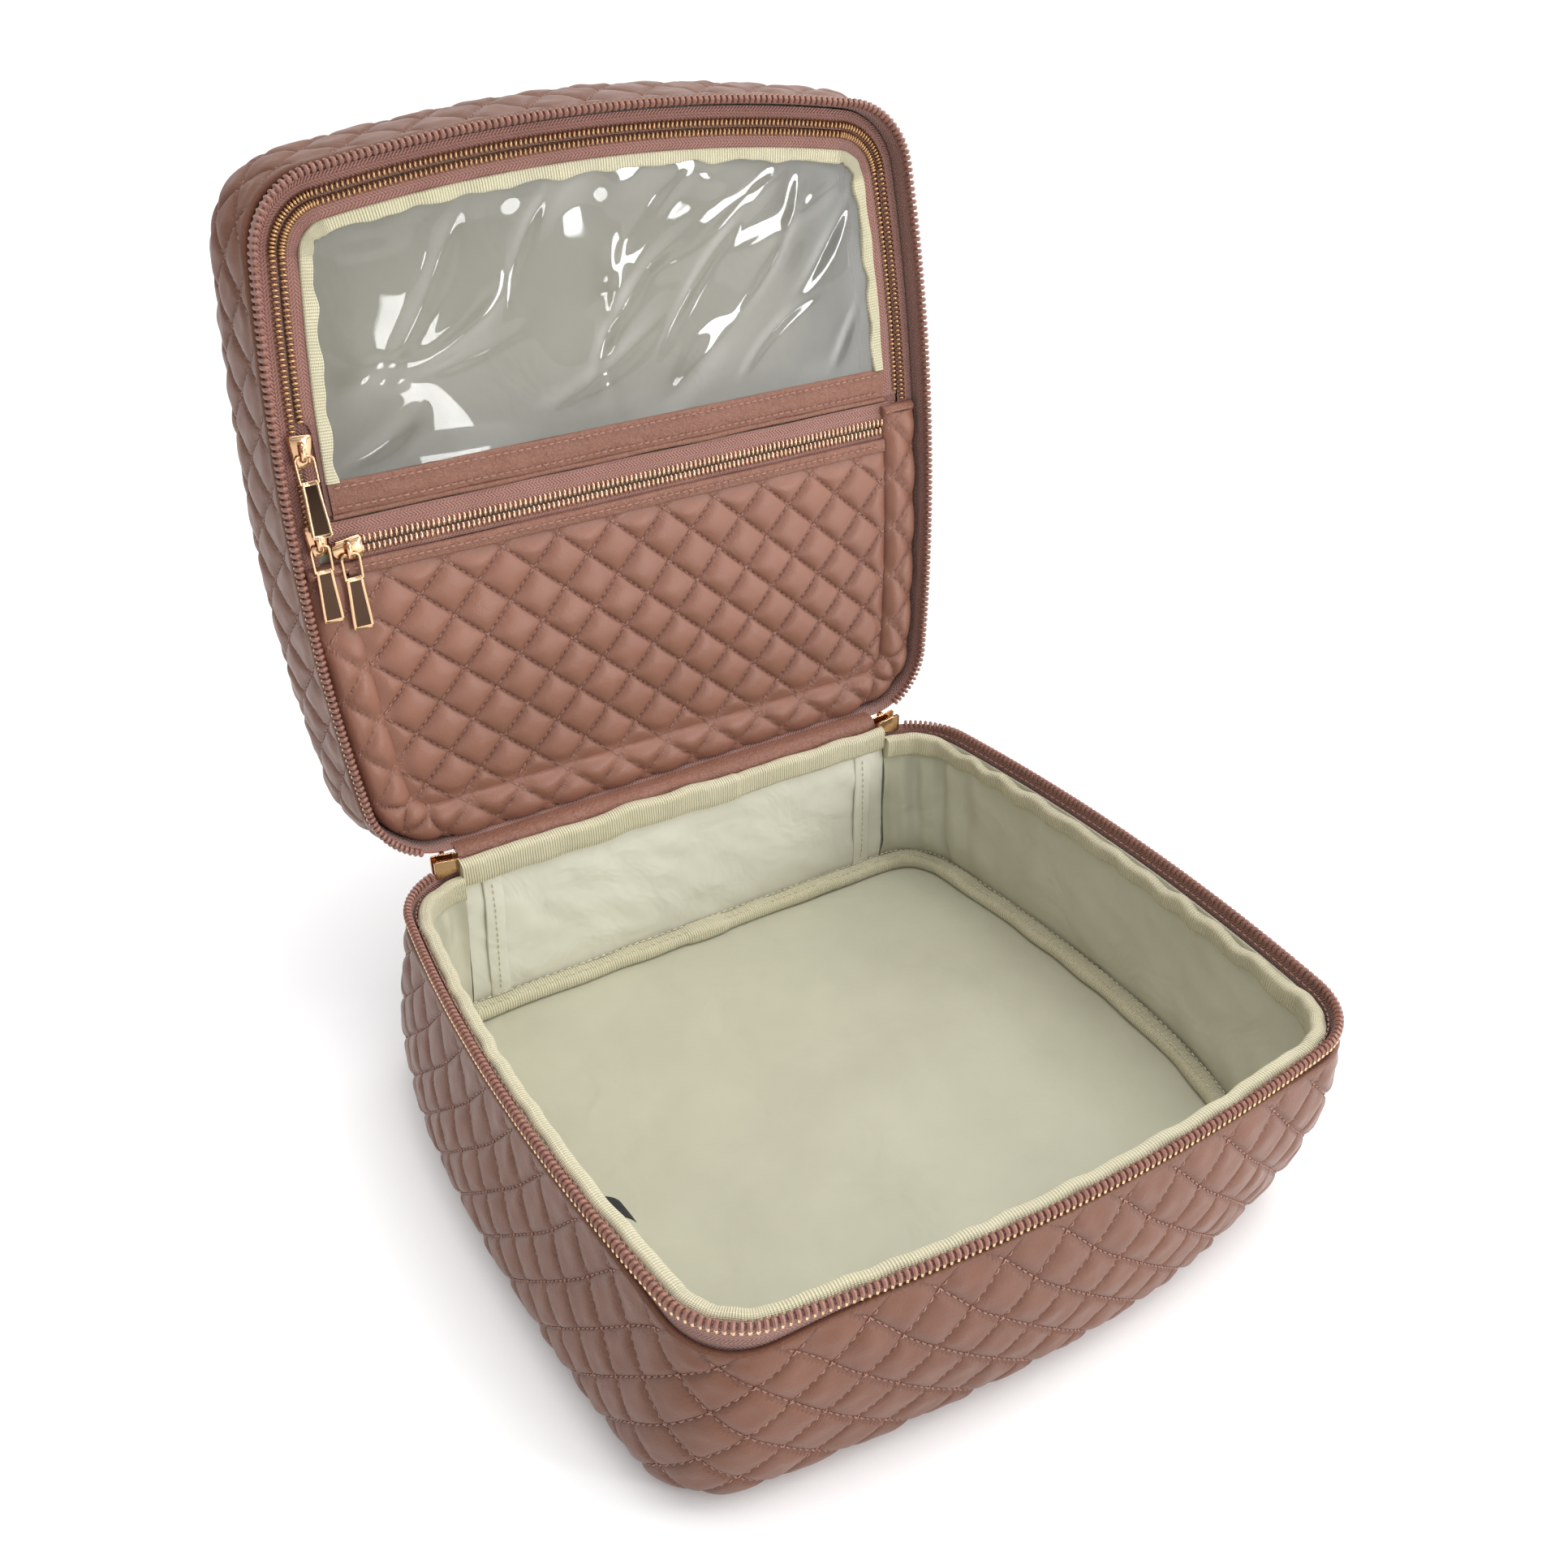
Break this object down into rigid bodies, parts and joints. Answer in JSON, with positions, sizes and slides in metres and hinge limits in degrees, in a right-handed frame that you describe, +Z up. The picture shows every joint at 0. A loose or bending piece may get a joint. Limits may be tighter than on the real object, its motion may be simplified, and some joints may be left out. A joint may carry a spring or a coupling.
{
  "type": "makeup bag",
  "caption": "Quilted makeup case with a deep lined base, a hinged lid holding a clear zipped flap and a quilted zip pocket, and hanging metal zip pulls.",
  "frame": {"origin": "centre of the flat underside of the base, on the surface it stands on", "axes": "+Z up, front of the base at -Y, X along the rear hinge line, +X to the right seen from the front"},
  "size_m": [0.27, 0.3395, 0.3386],
  "materials": {
    "quilted_leather": "dusty pink faux leather, semi-matt, stitched in diamonds",
    "smooth_leather": "dusty pink faux leather, smooth, semi-matt",
    "zip_tape": "pink woven herringbone tape",
    "zip_coil": "rose and gold nylon coil",
    "gold": "polished light gold plating",
    "cream_binding": "cream ribbed grosgrain ribbon",
    "lining": "ivory wipe-clean coated lining",
    "clear_vinyl": "clear glossy vinyl sheet",
    "label": "black woven tab, blank",
    "board": "grey-brown stiffener board",
    "foam": "off-white padding foam"
  },
  "bodies": {
    "base": {"base_wall": "quilted_leather", "base_rear_wall": "quilted_leather", "base_bottom": "quilted_leather", "base_board": "board", "base_floor_foam": "foam", "base_wall_foam": "foam", "base_lining_side": "lining", "base_lining_rear": "lining", "base_lining_floor": "lining", "rim_binding": "cream_binding", "rim_binding_rear": "cream_binding", "floor_binding": "cream_binding", "main_tape_lower": "zip_tape", "main_coil_lower": "zip_coil", "hinge_strip_lower": "smooth_leather", "hinge_fold": "smooth_leather", "care_label": "label", "main_slider_left": "gold", "main_slider_right": "gold"},
    "lid": {"lid_wall": "quilted_leather", "lid_rear_wall": "quilted_leather", "lid_top": "quilted_leather", "lid_board": "board", "lid_wall_foam": "foam", "lid_lining_wall": "lining", "lid_lining_back": "lining", "main_tape_upper": "zip_tape", "main_coil_upper": "zip_coil", "hinge_strip_upper": "smooth_leather", "flap_zip_tape_outer": "zip_tape", "flap_zip_coil_outer": "zip_coil", "pocket_border": "quilted_leather", "border_hem": "smooth_leather", "pocket_panel": "quilted_leather", "pocket_hem": "smooth_leather", "pocket_tape_lower": "zip_tape", "pocket_coil_lower": "zip_coil", "pocket_coil_upper": "zip_coil", "pocket_tape_upper": "zip_tape", "pocket_divider": "lining"},
    "flap": {"flap_window": "clear_vinyl", "flap_binding": "cream_binding", "flap_tape_inner": "zip_tape", "flap_coil_inner": "zip_coil", "flap_band": "smooth_leather", "flap_fold_edge": "smooth_leather"},
    "slider_upper": {"flap_slider_upper": "gold"},
    "slider_lower": {"flap_slider_lower": "gold"},
    "pull_upper": {"flap_pull_upper": "gold"},
    "pull_lower": {"flap_pull_lower": "gold"},
    "slider_pocket": {"pocket_slider": "gold"},
    "pull_pocket": {"pocket_pull": "gold"},
    "pull_left": {"main_pull_left": "gold"},
    "pull_right": {"main_pull_right": "gold"}
  },
  "joints": [
    {"name": "lid_hinge", "type": "hinge", "parent": "base", "child": "lid", "pos_m": [0, 0.125, 0.08], "axis": [-1, 0, 0], "range_deg": [-96, 54]},
    {"name": "flap_fold", "type": "hinge", "parent": "lid", "child": "flap", "pos_m": [0, 0.14937, 0.2162], "axis": [1, 0, 0], "range_deg": [0, 100]},
    {"name": "slider_upper_run", "type": "slide", "parent": "lid", "child": "slider_upper", "axis": [0.0767, 0.1042, 0.9916], "range_m": [0, 0.04]},
    {"name": "slider_lower_run", "type": "slide", "parent": "lid", "child": "slider_lower", "axis": [0.019, 0.1045, 0.9943], "range_m": [0, 0.004]},
    {"name": "pull_upper_swing", "type": "hinge", "parent": "slider_upper", "child": "pull_upper", "pos_m": [-0.12303, 0.14769, 0.24041], "axis": [-1, 0, 0], "range_deg": [0, 82]},
    {"name": "pull_lower_swing", "type": "hinge", "parent": "slider_lower", "child": "pull_lower", "pos_m": [-0.12397, 0.1444, 0.20908], "axis": [-1, 0, 0], "range_deg": [0, 90]},
    {"name": "slider_pocket_run", "type": "slide", "parent": "lid", "child": "slider_pocket", "axis": [1, 0, 0], "range_m": [0, 0.2]},
    {"name": "pull_pocket_swing", "type": "hinge", "parent": "slider_pocket", "child": "pull_pocket", "pos_m": [-0.114, 0.14388, 0.20411], "axis": [-1, 0, 0], "range_deg": [0, 90]},
    {"name": "pull_left_swing", "type": "hinge", "parent": "base", "child": "pull_left", "pos_m": [-0.103, 0.1262, 0.0784], "axis": [-1, 0, 0], "range_deg": [-70, 0]},
    {"name": "pull_right_swing", "type": "hinge", "parent": "base", "child": "pull_right", "pos_m": [0.103, 0.1262, 0.0784], "axis": [-1, 0, 0], "range_deg": [-70, 0]}
  ]
}
